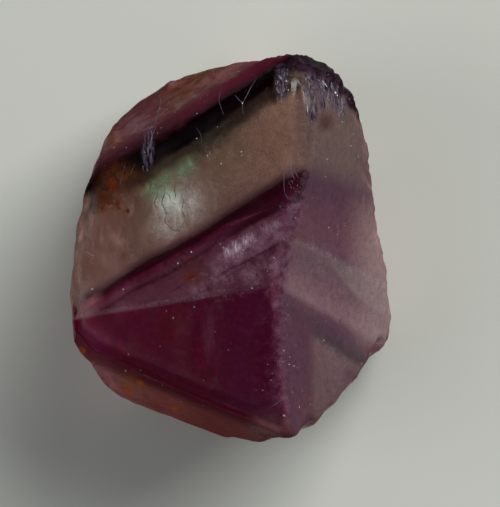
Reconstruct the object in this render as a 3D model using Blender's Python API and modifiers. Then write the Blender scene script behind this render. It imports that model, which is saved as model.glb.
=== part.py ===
"""Fluorite octahedron: one worn cleavage octahedron, at rest on one of its eight faces.

The stone is split along its cleavage planes from a cube, its corners are broken off, chips are
knocked out of its edges, and the whole is rubbed a little round. Lengths are in millimetres about
the middle of the stone until it is set down, in metres, with the middle of its base at the origin.
"""

import math
import random

import bmesh
import bpy
from mathutils import Euler, Matrix, Vector, noise

MM = 0.001
NAME = "fluorite_octahedron"

# The height of the stone, between its top face and the parallel face that it rests on.
THICKNESS = 25.0
BLOCK = 90.0

# Each facet is (bearing, rise, reach): the bearing of its outward normal from +X towards +Y and
# its rise above level, both in degrees, and its distance from the middle of the stone.
TOP = (0, 90, THICKNESS / 2)
BASE = (0, -90, THICKNESS / 2)
RIGHT = (-5, 19.5, 12.6)
CLEAVAGES = {
    "top": TOP,
    "base": BASE,
    "upper_right": RIGHT,
    "upper_back": (118, 24, 15.1),
    "upper_front": (249, 19.5, 16.7),
    "lower_left": (180, -19.5, 15.5),
    "lower_front": (300, -19.5, 17.1),
    "lower_back": (60, -19.5, 17.0),
    "top_slope": (278.5, 83, 12.95),
}
# The corners and thin edges are broken off by steep, uneven faces.
BREAKS = {
    "back_corner": (45, 40, 21.2),
    "back_corner_side": (64, -6, 20.5),
    "right_back": (30, -12, 17.5),
    "right_middle": (17, -13, 15.4),
    "right": (9, -14, 14.45),
    "right_end": (358, -14, 15.7),
    "front_right": (321, -11, 18.4),
    "front_corner": (289, -5, 18.7),
    "front": (263, 2, 18.5),
    "front_left": (250, 5, 17.75),
    "left_front": (234, 8, 18.4),
    "left_low": (207, 13, 17.5),
    "left_end": (186, 14, 15.9),
    "left": (174, 14, 15.0),
    "left_middle": (164, 13, 14.8),
    "left_back": (150, 12, 15.9),
    "back_left": (126, 8, 16.9),
    "back_middle": (105, 4, 17.45),
    "back": (97, 2, 17.65),
}

# The long edge between the top and the right face is bowed: its middle is worn back.
RIDGE_BOW = 0.8
BOW_MIDDLE_Y = -5.0
BOW_HALF_WAVE = 18.0
BOW_STARTS_X = 1.0
BOW_FULL_X = 7.0

# Chips along the worn edges: how many, and the smallest and largest side of the lump knocked out.
# Those of the rim sit where a steep side, whose normal rises less than this, meets a face above it.
CHIP_SEED = 7
STEEP_SIDE_RISE = 0.25
RIDGE_CHIPS = 24
RIDGE_CHIP_SIDES = (0.9, 1.9)
RIM_CHIPS = 34
RIM_CHIP_SIDES = (1.2, 2.6)
CHIP_STANDS_OFF = 0.45
RIDGE_RUN_Y = (-17.0, 13.0)

# Larger places that are broken out: (x, y, z), the three sides of the lump, its turn in degrees.
BROKEN_OUT = (
    ((14.1, 7.2, 1.0), (1.3, 1.3, 9.0), (0, 14, 58)),
    ((15.2, -11.4, -1.0), (2.2, 3.0, 9.0), (0, 24, -38)),
    ((8.3, 18.4, 12.4), (5.0, 1.6, 2.4), (20, 0, -30)),
    ((11.6, 14.8, 11.4), (2.0, 4.2, 2.6), (0, 35, 30)),
    ((13.9, 11.8, 7.0), (2.0, 1.8, 5.0), (15, 20, 40)),
    ((12.2, 13.6, 10.2), (1.8, 2.6, 1.8), (40, 20, 10)),
    ((-6.0, 16.2, 4.0), (4.4, 1.7, 12.0), (0, 0, 18)),
    ((-2.4, 17.3, 7.0), (3.4, 1.5, 8.0), (6, 0, 24)),
    ((-12.4, -12.2, 6.0), (3.2, 1.3, 9.0), (0, 0, -38)),
)

# Cleavage ledges, where a thin sheet has split off part of a face: the face, a point on the ledge,
# the way the ledge runs (degrees from level, in the face), its length, how far the missing sheet
# reached to the left of that way, and its thickness.
LEDGES = (
    ("upper_right", (8.3, -0.8, 12.5), 252.0, 44.0, -30.0, 0.12),
    ("upper_back", (-3.0, 14.6, 6.0), 8.0, 16.0, -9.0, 0.45),
    ("upper_back", (-9.5, 11.0, 3.0), -52.0, 14.0, -7.0, 0.40),
    ("upper_front", (-2.0, -16.8, 4.0), 12.0, 12.0, -8.0, 0.35),
    ("lower_left", (-12.8, 3.0, -3.0), 60.0, 30.0, 9.0, 0.55),
    ("lower_left", (-13.4, -4.0, -5.0), -60.0, 18.0, -7.0, 0.40),
    ("lower_front", (6.0, -14.0, -4.0), -60.0, 26.0, 10.0, 0.50),
    ("lower_back", (9.5, 12.5, -5.0), 60.0, 26.0, -11.0, 0.55),
    ("lower_back", (6.0, 14.0, -7.0), 0.0, 14.0, -6.0, 0.35),
)
LEDGE_CUTTER_HEIGHT = 4.0

# The surface: the grid that the blank is rebuilt on, how far its edges are rubbed round, and the
# height and size of the unevenness, which is greater on the broken sides than on cleavage faces.
GRID = 0.42
RUBS = 5
RUB_STRENGTH = 0.5
CLEAVAGE_ROUGHNESS = 0.05
BREAK_ROUGHNESS = 0.30
LUMP_SIZE = 2.6
LUMP_FALLOFF = 1.0
LUMP_STEP = 2.0
LUMP_LAYERS = 3
INWARD_BIAS = 0.4
CLEAVAGE_MATCH = (0.955, 0.99)
TRIANGLES = 8600
BASE_CUT = 0.25
SHARP_EDGE = 30

STONE_COLOUR = (0.22, 0.07, 0.17, 1.0)
STONE_ROUGHNESS = 0.3


def clear_scene():
    for obj in list(bpy.data.objects):
        bpy.data.objects.remove(obj, do_unlink=True)


def new_collection(name):
    collection = bpy.data.collections.new(name)
    bpy.context.scene.collection.children.link(collection)
    return collection


def outward(facet):
    bearing, rise = math.radians(facet[0]), math.radians(facet[1])
    level = math.cos(rise)
    return Vector((math.cos(bearing) * level, math.sin(bearing) * level, math.sin(rise)))


def cleave(blank, facet):
    """Splits off all that lies beyond one facet, and closes the cut."""
    normal = outward(facet)
    cut = bmesh.ops.bisect_plane(
        blank,
        geom=blank.verts[:] + blank.edges[:] + blank.faces[:],
        plane_co=normal * facet[2],
        plane_no=normal,
        clear_outer=True,
    )
    rim = [item for item in cut["geom_cut"] if isinstance(item, bmesh.types.BMEdge)]
    if rim:
        bmesh.ops.contextual_create(blank, geom=rim)


def cleaved_block():
    blank = bmesh.new()
    bmesh.ops.create_cube(blank, size=BLOCK)
    for facet in list(CLEAVAGES.values()) + list(BREAKS.values()):
        cleave(blank, facet)
    bmesh.ops.recalc_face_normals(blank, faces=blank.faces[:])
    return blank


def ridge_point(y):
    """The point of the edge between the top and the right face at this y."""
    normal = outward(RIGHT)
    z = TOP[2]
    return Vector(((RIGHT[2] - normal.y * y - normal.z * z) / normal.x, y, z))


def rim_points(blank):
    """The corners where the broken sides meet the faces above them, and the middles between."""
    points = []
    for edge in blank.edges:
        if len(edge.link_faces) < 2:
            continue
        rises = sorted(face.normal.z for face in edge.link_faces)
        if rises[0] < STEEP_SIDE_RISE < rises[1] and edge.verts[0].co.z > 0:
            points.append(edge.verts[0].co.copy())
            points.append((edge.verts[0].co + edge.verts[1].co) / 2)
    return points


def add_lump(cutter, middle, sides, turn):
    placed = Matrix.LocRotScale(middle, turn, Vector(sides))
    bmesh.ops.create_cube(cutter, size=1.0, matrix=placed)


def chipped_lump(draw, limits):
    sides = [draw.uniform(*limits) for _ in range(3)]
    turn = Euler([draw.uniform(0, math.pi) for _ in range(3)])
    return sides, turn


def add_ledge(cutter, facet, point, way, length, reach, thickness):
    """One sheet that has split off a face, as a flat box sunk into it by the sheet's thickness."""
    normal = outward(facet)
    level = Vector((0, 0, 1)).cross(normal).normalized()
    slope = normal.cross(level)
    along = level * math.cos(math.radians(way)) + slope * math.sin(math.radians(way))
    across = normal.cross(along)
    on_face = Vector(point) + normal * (facet[2] - normal.dot(Vector(point)))
    middle = on_face + across * reach / 2 + normal * (LEDGE_CUTTER_HEIGHT / 2 - thickness)
    turn = Matrix((along, across, normal)).transposed().to_quaternion()
    add_lump(cutter, middle, (length, abs(reach), LEDGE_CUTTER_HEIGHT), turn)


def chips(blank, collection):
    """Every lump that is knocked out of the stone, as one cutter."""
    draw = random.Random(CHIP_SEED)
    cutter = bmesh.new()
    low, high = RIDGE_RUN_Y
    for i in range(RIDGE_CHIPS):
        point = ridge_point(low + (high - low) * (i + draw.random()) / RIDGE_CHIPS)
        off = (outward(TOP) + outward(RIGHT)).normalized() * CHIP_STANDS_OFF
        add_lump(cutter, point + off, *chipped_lump(draw, RIDGE_CHIP_SIDES))
    corners = rim_points(blank)
    for point in draw.sample(corners, min(RIM_CHIPS, len(corners))):
        off = point.normalized() * CHIP_STANDS_OFF
        add_lump(cutter, point + off, *chipped_lump(draw, RIM_CHIP_SIDES))
    for middle, sides, degrees in BROKEN_OUT:
        add_lump(cutter, Vector(middle), sides, Euler([math.radians(a) for a in degrees]))
    for face, *sheet in LEDGES:
        add_ledge(cutter, CLEAVAGES[face], *sheet)
    obj = mesh_object("edge_chips", cutter, collection)
    obj.hide_render = True
    obj.display_type = "WIRE"
    return obj


def mesh_object(name, shape, collection):
    mesh = bpy.data.meshes.new(name)
    shape.to_mesh(mesh)
    shape.free()
    obj = bpy.data.objects.new(name, mesh)
    collection.objects.link(obj)
    return obj


def rub_round(obj, chip_cutter):
    """Knocks the chips out, rebuilds the surface on an even grid and rubs its edges round."""
    knock = obj.modifiers.new("knock_out_chips", "BOOLEAN")
    knock.object = chip_cutter
    knock.operation = "DIFFERENCE"
    knock.use_self = True
    grid = obj.modifiers.new("even_grid", "REMESH")
    grid.mode = "VOXEL"
    grid.voxel_size = GRID
    rub = obj.modifiers.new("rub_edges", "SMOOTH")
    rub.factor = RUB_STRENGTH
    rub.iterations = RUBS
    apply_modifiers(obj)


def apply_modifiers(obj):
    graph = bpy.context.evaluated_depsgraph_get()
    graph.update()
    done = bpy.data.meshes.new_from_object(obj.evaluated_get(graph))
    obj.modifiers.clear()
    obj.data = done


def ramp(value, start, end):
    share = min(max((value - start) / (end - start), 0.0), 1.0)
    return share * share * (3 - 2 * share)


def ridge_bow(point):
    """How far a point near the long edge moves along X, so that the edge is bowed."""
    wave = -math.cos(math.pi * (point.y - BOW_MIDDLE_Y) / BOW_HALF_WAVE)
    near = ramp(point.x, BOW_STARTS_X, BOW_FULL_X) * ramp(point.z, 0, THICKNESS / 2)
    return RIDGE_BOW * wave * near


def weather(obj):
    """Moves each point by the bow of the ridge and the unevenness of its face."""
    cleavage_normals = [outward(facet) for facet in CLEAVAGES.values()]
    normals = [vertex.normal.copy() for vertex in obj.data.vertices]
    for vertex, normal in zip(obj.data.vertices, normals):
        point = vertex.co.copy()
        flat = ramp(max(normal.dot(other) for other in cleavage_normals), *CLEAVAGE_MATCH)
        height = BREAK_ROUGHNESS + (CLEAVAGE_ROUGHNESS - BREAK_ROUGHNESS) * flat
        lumps = noise.fractal(point / LUMP_SIZE, LUMP_FALLOFF, LUMP_STEP, LUMP_LAYERS) - INWARD_BIAS
        vertex.co = point + normal * height * lumps + Vector((ridge_bow(point), 0, 0))


def thin_out(obj):
    """Brings the stone down to its number of triangles, and cuts its base truly flat."""
    obj.data.calc_loop_triangles()
    fewer = obj.modifiers.new("fewer_faces", "DECIMATE")
    fewer.ratio = TRIANGLES / len(obj.data.loop_triangles)
    apply_modifiers(obj)
    stone = bmesh.new()
    stone.from_mesh(obj.data)
    cleave(stone, (BASE[0], BASE[1], BASE[2] - BASE_CUT))
    bmesh.ops.triangulate(stone, faces=stone.faces[:])
    bmesh.ops.recalc_face_normals(stone, faces=stone.faces[:])
    stone.to_mesh(obj.data)
    stone.free()


def set_down(obj):
    """Puts the middle of the base at the origin, in metres."""
    low = [min(v.co[i] for v in obj.data.vertices) for i in range(3)]
    high = [max(v.co[i] for v in obj.data.vertices) for i in range(3)]
    middle = Vector(((low[0] + high[0]) / 2, (low[1] + high[1]) / 2, low[2]))
    obj.data.transform(Matrix.Scale(MM, 4) @ Matrix.Translation(-middle))
    obj.data.shade_smooth()
    obj.data.set_sharp_from_angle(angle=math.radians(SHARP_EDGE))


def fluorite_material():
    material = bpy.data.materials.new("fluorite")
    material.use_nodes = True
    shader = material.node_tree.nodes["Principled BSDF"]
    shader.inputs["Base Color"].default_value = STONE_COLOUR
    shader.inputs["Roughness"].default_value = STONE_ROUGHNESS
    shader.inputs["Metallic"].default_value = 0.0
    return material


def build():
    clear_scene()
    parts = new_collection(NAME)
    cutters = new_collection("cutters")
    blank = cleaved_block()
    cutter = chips(blank, cutters)
    stone = mesh_object(NAME, blank, parts)
    rub_round(stone, cutter)
    weather(stone)
    thin_out(stone)
    set_down(stone)
    stone.data.materials.append(fluorite_material())
    cutter.data.transform(Matrix.Scale(MM, 4))


build()
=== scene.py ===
import math
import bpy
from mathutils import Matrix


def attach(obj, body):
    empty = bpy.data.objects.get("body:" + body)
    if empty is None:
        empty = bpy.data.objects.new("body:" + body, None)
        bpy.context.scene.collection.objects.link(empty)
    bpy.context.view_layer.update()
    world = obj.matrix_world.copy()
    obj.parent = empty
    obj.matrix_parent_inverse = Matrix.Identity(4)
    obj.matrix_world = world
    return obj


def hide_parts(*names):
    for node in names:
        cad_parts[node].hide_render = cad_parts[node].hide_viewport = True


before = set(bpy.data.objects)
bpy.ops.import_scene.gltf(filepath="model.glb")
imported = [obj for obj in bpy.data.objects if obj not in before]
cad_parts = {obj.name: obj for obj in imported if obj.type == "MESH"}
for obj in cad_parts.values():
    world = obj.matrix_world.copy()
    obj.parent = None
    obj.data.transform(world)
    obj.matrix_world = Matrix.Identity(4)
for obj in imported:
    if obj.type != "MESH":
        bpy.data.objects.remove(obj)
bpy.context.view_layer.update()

from types import SimpleNamespace

import bmesh
import bpy
import numpy as np
from mathutils import Matrix, Vector, noise
from mathutils.bvhtree import BVHTree

# The stone.
# One cleavage octahedron of fluorite, see-through, with purple growth bands. It is split along
# flat cleavage faces, its corners are broken, and its edges are rubbed. The CAD solid's surface is
# rebuilt here on a finer grid, which holds the hackly breaks, thin ledges and edge chips.
MM = 0.001
FINE_GRID = 0.23 * MM
RUB_PASSES = 6

# The way each cleavage face looks: its bearing from +X towards +Y and its rise, in degrees.
FACES = {
    "top_face": (0, 90),
    "right_face": (-5, 19.5),
    "back_face": (118, 24),
    "front_face": (249, 19.5),
    "base_face": (0, -90),
    "lower_left": (180, -19.5),
    "lower_front": (300, -19.5),
    "lower_back": (60, -19.5),
}
# The planes of the upper faces: each face's way, and how far it is from the middle of the base.
RIGHT_FACE = (FACES["right_face"], 17.40)
BACK_FACE = (FACES["back_face"], 19.75)
FRONT_FACE = (FACES["front_face"], 20.54)
# A point belongs to the face its smoothed normal is nearest, and it is broken where it is near none.
FACE_BLEND = 0.10
BROKEN_FROM, BROKEN_TO = 0.975, 0.90
NORMAL_PASSES = 12
EDGE_PASSES = 40
EDGE_FROM, EDGE_TO = 0.012, 0.10

# The relief, in mm: how high, and how large its lumps are.
WAVE_HEIGHT, WAVE_SIZE = 0.03, 5
GRAIN_HEIGHT, GRAIN_SIZE = 0.006, 0.7
HACKLE_HEIGHT, HACKLE_SIZE = 0.45, (2.4, 2.4, 1.8)
SPLINTER_HEIGHT, SPLINTER_SIZE = 0.18, (0.8, 0.8, 0.7)
CHIP_HEIGHT, CHIP_SIZE = 0.35, (0.7, 1.1, 0.7)
# The left rim is smoother than the right one, by this share, from one X to the other.
SMOOTH_RIM_SHARE = 0.25
SMOOTH_RIM_X = (2, 11)
CORNER = (9.8, 17.4, 21)
CORNER_REACH = 7
FLAKE_HEIGHT, FLAKE_SIZE = 0.5, (0.8, 3.4, 3.4)
SHRED_HEIGHT, SHRED_SIZE = 0.18, (0.35, 1.8, 1.8)
# The top's edges with the back and the front face have no chips near them, and the ridge at the
# right is pitted all along. All three are rubbed round: each point is averaged so many times.
CRISP_REACH = (0, 3)
RIDGE_REACH = (0.4, 1.9)
PITTED_HEIGHT, PITTED_SIZE = 0.04, 0.5
RUBBED_PASSES = 40
RUBBED_REACH = (0.7, 1.8)
ROUNDED_PASSES = 100
ROUNDED_REACH = (0.8, 2.8)
TOP_HEIGHT = 24.7


def facing(bearing, rise):
    a, e = math.radians(bearing), math.radians(rise)
    return Vector((math.cos(a) * math.cos(e), math.sin(a) * math.cos(e), math.sin(e)))


def new_piece(name, mesh):
    piece = bpy.data.objects.new(name, mesh)
    bpy.context.scene.collection.objects.link(piece)
    return piece


def plain_copy(node, name):
    """A copy of a CAD node's mesh as one closed surface."""
    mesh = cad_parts[node].data.copy()
    mesh.name = name
    shape = bmesh.new()
    shape.from_mesh(mesh)
    bmesh.ops.remove_doubles(shape, verts=shape.verts[:], dist=1e-6)
    shape.to_mesh(mesh)
    shape.free()
    return new_piece(name, mesh)


def baked(piece):
    """The piece with its modifiers applied."""
    graph = bpy.context.evaluated_depsgraph_get()
    graph.update()
    mesh = bpy.data.meshes.new_from_object(piece.evaluated_get(graph))
    piece.modifiers.clear()
    piece.data = mesh
    return piece


def vectors(items, key):
    values = np.empty(len(items) * 3, np.float32)
    items.foreach_get(key, values)
    return values.reshape(-1, 3).astype(float)


def ramp(values, start, end):
    share = np.clip((values - start) / (end - start), 0, 1)
    return share * share * (3 - 2 * share)


def spread(mesh, values, passes):
    """Averages a value of each point with its neighbours', so many times over."""
    pairs = np.empty(len(mesh.edges) * 2, np.int32)
    mesh.edges.foreach_get("vertices", pairs)
    a, b = pairs.reshape(-1, 2).T
    count = np.bincount(np.concatenate([a, b]), minlength=len(mesh.vertices))
    values = values.reshape(len(mesh.vertices), -1)
    for _ in range(passes):
        near = [np.bincount(a, values[b, k], len(count)) + np.bincount(b, values[a, k], len(count))
                for k in range(values.shape[1])]
        values = 0.5 * values + 0.5 * np.stack(near, axis=1) / count[:, None]
    return values


def unit(values):
    return values / np.linalg.norm(values, axis=1, keepdims=True)


def surface_parts(mesh):
    """How far each point belongs to each face, to the broken places and to the edges, 0 to 1."""
    normals = vectors(mesh.vertices, "normal")
    smooth = unit(spread(mesh, normals, NORMAL_PASSES))
    match = {name: smooth @ np.array(facing(*way)) for name, way in FACES.items()}
    best = np.max(list(match.values()), axis=0)
    parts = {name: ramp(value - best, -FACE_BLEND, 0) for name, value in match.items()}
    parts["broken"] = ramp(best, BROKEN_FROM, BROKEN_TO)
    bend = 1 - np.linalg.norm(spread(mesh, normals, EDGE_PASSES), axis=1)
    parts["edge"] = ramp(bend, EDGE_FROM, EDGE_TO)
    return {name: spread(mesh, value, 3)[:, 0] for name, value in parts.items()}


def lumps(points, size, layers=3):
    return np.array([noise.fractal(Vector(p) / size, 1.0, 2.0, layers) for p in points])


def bowls(points, size):
    """Shell-shaped hollows that meet in sharp crests, as on a broken face: 0 low, 1 at a crest."""
    near = [noise.voronoi(p)[0][0] for p in points / np.array(size)]
    return np.clip(np.array(near), 0, 1)


def beyond(points, way, reach):
    """How far each point lies outside a plane."""
    return points @ np.array(facing(*way)) - reach


def near_place(points, place, radius):
    return 1 - ramp(np.linalg.norm(points - np.array(place), axis=1), 0.5 * radius, radius)


def near_edge(points, reach, *faces):
    """1 at the top face's edge with any of these faces, fading to 0 over the reach."""
    below = np.abs(TOP_HEIGHT - points[:, 2])
    inside = np.min([np.abs(beyond(points, *face)) for face in faces], axis=0)
    return 1 - ramp(np.maximum(below, inside), *reach)


def relief(points, parts):
    """How far each point moves along its normal, in mm; little of it moves outwards."""
    corner = parts["corner"]
    x = points[:, 0]
    crisp = near_edge(points, CRISP_REACH, BACK_FACE, FRONT_FACE) * (1 - corner)
    crisp = np.maximum(crisp, parts["ridge"])
    patchy = ramp(lumps(points, 2.2, 2), -0.1, 0.35)
    edge = parts["edge"] * (1 - crisp) * patchy
    rim = parts["broken"] * (1 - crisp)
    rim *= SMOOTH_RIM_SHARE + (1 - SMOOTH_RIM_SHARE) * ramp(x, *SMOOTH_RIM_X)
    moved = WAVE_HEIGHT * lumps(points, WAVE_SIZE) + GRAIN_HEIGHT * lumps(points, GRAIN_SIZE)
    moved += rim * HACKLE_HEIGHT * (bowls(points, HACKLE_SIZE) - 0.65)
    moved += rim * SPLINTER_HEIGHT * (bowls(points, SPLINTER_SIZE) - 0.65)
    moved += edge * CHIP_HEIGHT * (bowls(points, CHIP_SIZE) - 0.85)
    moved += parts["ridge"] * PITTED_HEIGHT * lumps(points, PITTED_SIZE)
    moved += corner * FLAKE_HEIGHT * (bowls(points, FLAKE_SIZE) - 0.75)
    moved += corner * SHRED_HEIGHT * (bowls(points, SHRED_SIZE) - 0.75)
    return moved * (1 - parts["base_face"])


def fine_stone():
    stone = plain_copy("fluorite_octahedron", "stone")
    grid = stone.modifiers.new("fine_grid", "REMESH")
    grid.mode = "VOXEL"
    grid.voxel_size = FINE_GRID
    rub = stone.modifiers.new("rub", "SMOOTH")
    rub.factor = 0.5
    rub.iterations = RUB_PASSES
    mesh = baked(stone).data
    parts = surface_parts(mesh)
    points = vectors(mesh.vertices, "co") / MM
    parts["corner"] = near_place(points, CORNER, CORNER_REACH)
    parts["ridge"] = near_edge(points, RIDGE_REACH, RIGHT_FACE) * (1 - parts["corner"])
    rubbed = near_edge(points, RUBBED_REACH, RIGHT_FACE, BACK_FACE, FRONT_FACE)
    parts["broken"] *= 1 - rubbed
    out = vectors(mesh.vertices, "normal")
    moved = out * relief(points, parts)[:, None]
    worn = spread(mesh, points, RUBBED_PASSES)
    rounder = spread(mesh, worn, ROUNDED_PASSES)
    at_front = near_edge(points, ROUNDED_REACH, FRONT_FACE)
    points += (worn - points) * rubbed[:, None] + moved
    points += (rounder - points) * (at_front * (1 - parts["ridge"]))[:, None]
    mesh.vertices.foreach_set("co", (points * MM).astype(np.float32).ravel())
    for name, value in parts.items():
        layer = mesh.attributes.new(name, "FLOAT", "POINT")
        layer.data.foreach_set("value", value.astype(np.float32))
    mesh.materials.clear()
    mesh.shade_smooth()
    mesh.update()
    return stone


stone = fine_stone()


def linear(colour):
    """A colour given as 0 to 255 on screen, made linear; a socket stays as it is."""
    if isinstance(colour, bpy.types.NodeSocket):
        return colour
    return (*(((c / 255 + 0.055) / 1.055) ** 2.4 if c > 10 else c / 255 / 12.92 for c in colour), 1)


class Nodes:
    """Adds nodes to one tree. Inputs are sockets or plain values, and colours are 0 to 255."""

    def __init__(self, tree):
        self.tree = tree

    def add(self, kind, inputs=(), **settings):
        node = self.tree.nodes.new(kind)
        for key, value in settings.items():
            setattr(node, key, value)
        for key, value in dict(inputs).items():
            if isinstance(value, bpy.types.NodeSocket):
                self.tree.links.new(value, node.inputs[key])
            else:
                node.inputs[key].default_value = value
        return node

    def place(self):
        """Each point's place on the stone, in mm."""
        return self.scaled(self.add("ShaderNodeTexCoord").outputs["Object"], (1 / MM,) * 3)

    def attribute(self, name):
        return self.add("ShaderNodeAttribute", attribute_name=name).outputs["Fac"]

    def math(self, operation, a, b=0):
        return self.add("ShaderNodeMath", {0: a, 1: b}, operation=operation).outputs[0]

    def chain(self, operation, values):
        result = values[0]
        for value in values[1:]:
            result = self.math(operation, result, value)
        return result

    def product(self, *values):
        return self.chain("MULTIPLY", values)

    def total(self, *values):
        return self.chain("ADD", values)

    def most(self, *values):
        return self.chain("MAXIMUM", values)

    def minus(self, a, b):
        return self.math("SUBTRACT", a, b)

    def less(self, value):
        """1 less the value."""
        return self.minus(1, value)

    def along(self, point, way):
        """How far a point lies along a direction."""
        inputs = {0: point, 1: way}
        return self.add("ShaderNodeVectorMath", inputs, operation="DOT_PRODUCT").outputs["Value"]

    def flat(self, across, up):
        return self.add("ShaderNodeCombineXYZ", {"X": across, "Y": up}).outputs[0]

    def scaled(self, point, scale, turn=(0, 0, 0)):
        return self.add("ShaderNodeMapping", {"Vector": point, "Scale": scale, "Rotation": turn}).outputs[0]

    def noise(self, point, scale, detail=4, rough=0.55, distortion=0):
        inputs = {"Vector": point, "Scale": scale, "Detail": detail, "Roughness": rough,
                  "Distortion": distortion}
        return self.add("ShaderNodeTexNoise", inputs).outputs["Fac"]

    def drawn_out(self, point, scale, turn=0, detail=5, rough=0.6, distortion=0):
        """A noise stretched along the leaning sheet, and turned in it."""
        return self.noise(self.scaled(point, (*scale, 1), (0, 0, turn)), 1, detail, rough, distortion)

    def span(self, value, low, high, start=0, end=1):
        """Start below low, end above high, and a smooth step between."""
        inputs = {"Value": value, "From Min": low, "From Max": high, "To Min": start, "To Max": end}
        node = self.add("ShaderNodeMapRange", inputs, interpolation_type="SMOOTHSTEP")
        return node.outputs["Result"]

    def band(self, value, low, high, soft):
        """1 between low and high, fading over soft on both sides."""
        rise = self.span(value, low - soft, low + soft)
        fall = self.span(value, high - soft, high + soft, 1, 0)
        return self.product(rise, fall)

    def spot(self, point, middle, radius, soft=0.6):
        """1 at a place, fading out towards radius."""
        away = self.add("ShaderNodeVectorMath", {0: point, 1: middle}, operation="DISTANCE")
        return self.span(away.outputs["Value"], radius * (1 - soft), radius, 1, 0)

    def mix(self, share, first, second, blend="MIX"):
        inputs = {0: share, 6: linear(first), 7: linear(second)}
        return self.add("ShaderNodeMix", inputs, data_type="RGBA", blend_type=blend).outputs[2]

    def over(self, colour, *layers):
        """Lays tints over a colour in turn, each a layer of a tint and the shares it is laid by."""
        for tint, *shares in layers:
            colour = self.mix(self.product(*shares), colour, tint)
        return colour

    def ramp(self, value, low, high, stops):
        """A colour for each value between low and high, through stops of (value, colour)."""
        share = self.math("DIVIDE", self.minus(value, low), high - low)
        node = self.add("ShaderNodeValToRGB", {"Fac": share})
        elements = node.color_ramp.elements
        elements[1].position = (stops[-1][0] - low) / (high - low)
        elements[0].position = (stops[0][0] - low) / (high - low)
        elements[1].color, elements[0].color = linear(stops[-1][1]), linear(stops[0][1])
        for place, colour in stops[1:-1]:
            elements.new((place - low) / (high - low)).color = linear(colour)
        return node.outputs["Color"]

    def principled(self, colour, rough, **sockets):
        """The shader; underscores in a socket's name stand for spaces."""
        inputs = {key.replace("_", " "): value for key, value in sockets.items()}
        inputs.update({"Base Color": linear(colour), "Roughness": rough})
        return self.add("ShaderNodeBsdfPrincipled", inputs).outputs[0]

    def bump(self, height, strength, distance):
        inputs = {"Height": height, "Strength": strength, "Distance": distance * MM}
        return self.add("ShaderNodeBump", inputs).outputs[0]

    def finish(self, **outputs):
        self.add("ShaderNodeOutputMaterial", outputs)


def new_material(name):
    material = bpy.data.materials.new(name)
    material.use_nodes = True
    material.node_tree.nodes.clear()
    return material, Nodes(material.node_tree)


# The colours, from 0 to 255 on screen. Growth bands lie on planes that face one way; a place along
# it is in mm from the middle of the base. Other marks are placed across and up, in mm, on a flat
# sheet that leans to the right over the stone.
LEAN = 14
ACROSS = (math.cos(math.radians(LEAN)), 0, -math.sin(math.radians(LEAN)))
TOWARDS = (math.sin(math.radians(LEAN)), 0, math.cos(math.radians(LEAN)))
IOR = 1.434
LEAST_CLEAR = 0.02
SMOKE, SMOKE_DENSITY = (0.50, 0.34, 0.26, 1), 11
SHADED_PARTS = ("top_face", "right_face", "back_face", "front_face", "broken", "ridge")
GROWTH = facing(301.5, 22)
BAND_RANGE = (-2, 16)
TOP_BANDS = (
    (-2, (8, 0, 2)), (0.8, (8, 0, 2)), (1.6, (60, 40, 30)), (2.3, (140, 112, 90)),
    (3, (176, 138, 114)), (6.2, (190, 150, 128)), (7.2, (168, 126, 118)), (7.8, (132, 84, 88)),
    (8.12, (50, 2, 16)), (8.5, (40, 0, 8)), (8.8, (98, 10, 50)), (9.3, (124, 46, 78)),
    (9.6, (84, 10, 42)), (10, (127, 57, 85)), (11, (132, 66, 92)), (12, (140, 80, 106)),
    (12.3, (130, 62, 90)), (12.55, (76, 20, 46)), (12.85, (130, 64, 90)), (14, (127, 58, 86)),
    (16, (127, 60, 87)),
)
BLACK_BULGE = ((-5.3, 10.4), 4.5, 0.55)
CLEAR_TAN, CLEAR_GREY, CLEAR_GREEN = (211, 158, 135), (157, 116, 97), (118, 108, 84)
CLEAR_VEIL, WORN_TAN = (206, 172, 156), (100, 78, 74)
CLEAR_END = (150, 116, 108)
STEP = (facing(279, 0), 4.72)
STRIP_LINT = (150, 106, 130)
STREAK_WAY, STREAK_PLACE = (0.85, 0.52, 0), (-4.4, -1.9, 0)
PURPLE, PURPLE_RED, PURPLE_RIGHT, PURPLE_PALE = (100, 1, 50), (106, 2, 40), (100, 6, 62), (120, 44, 78)
PURPLE_HEM, PURPLE_STREAK = (78, 2, 20), (130, 58, 92)
SECOND_LINE = ((3.1, 4.4), 27.2, 0.45)
SECOND_DARK, SECOND_BRIGHT, TIP_LILAC = (42, 0, 15), (112, 8, 60), (168, 102, 112)
THIRD_LINE = (-3.20, -3.00, (84, 8, 44))
BACK_LINE = ((-5.3, 13.8), 32.2)
BACK_RANGE = (-1.5, 3.5)
BACK_LIGHT, BACK_SHADE = (112, 80, 84), (70, 30, 30)
BACK_RIGHT = (
    (-1.5, (4, 0, 2)), (-1, (14, 0, 5)), (-0.6, (60, 0, 24)), (-0.2, (84, 2, 36)),
    (0.25, (82, 18, 38)), (0.7, (98, 46, 52)), (1.4, (122, 74, 72)), (2.2, (114, 66, 60)),
    (3.5, (100, 54, 44)),
)
BACK_LEFT = (
    (-1.5, (4, 0, 2)), (-1, (10, 0, 3)), (-0.4, (30, 0, 10)), (0.1, (56, 0, 20)),
    (0.4, (70, 12, 34)), (0.8, (88, 38, 48)), (1.3, (102, 58, 62)), (2.2, (98, 50, 56)),
    (3.5, (92, 44, 48)),
)
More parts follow.
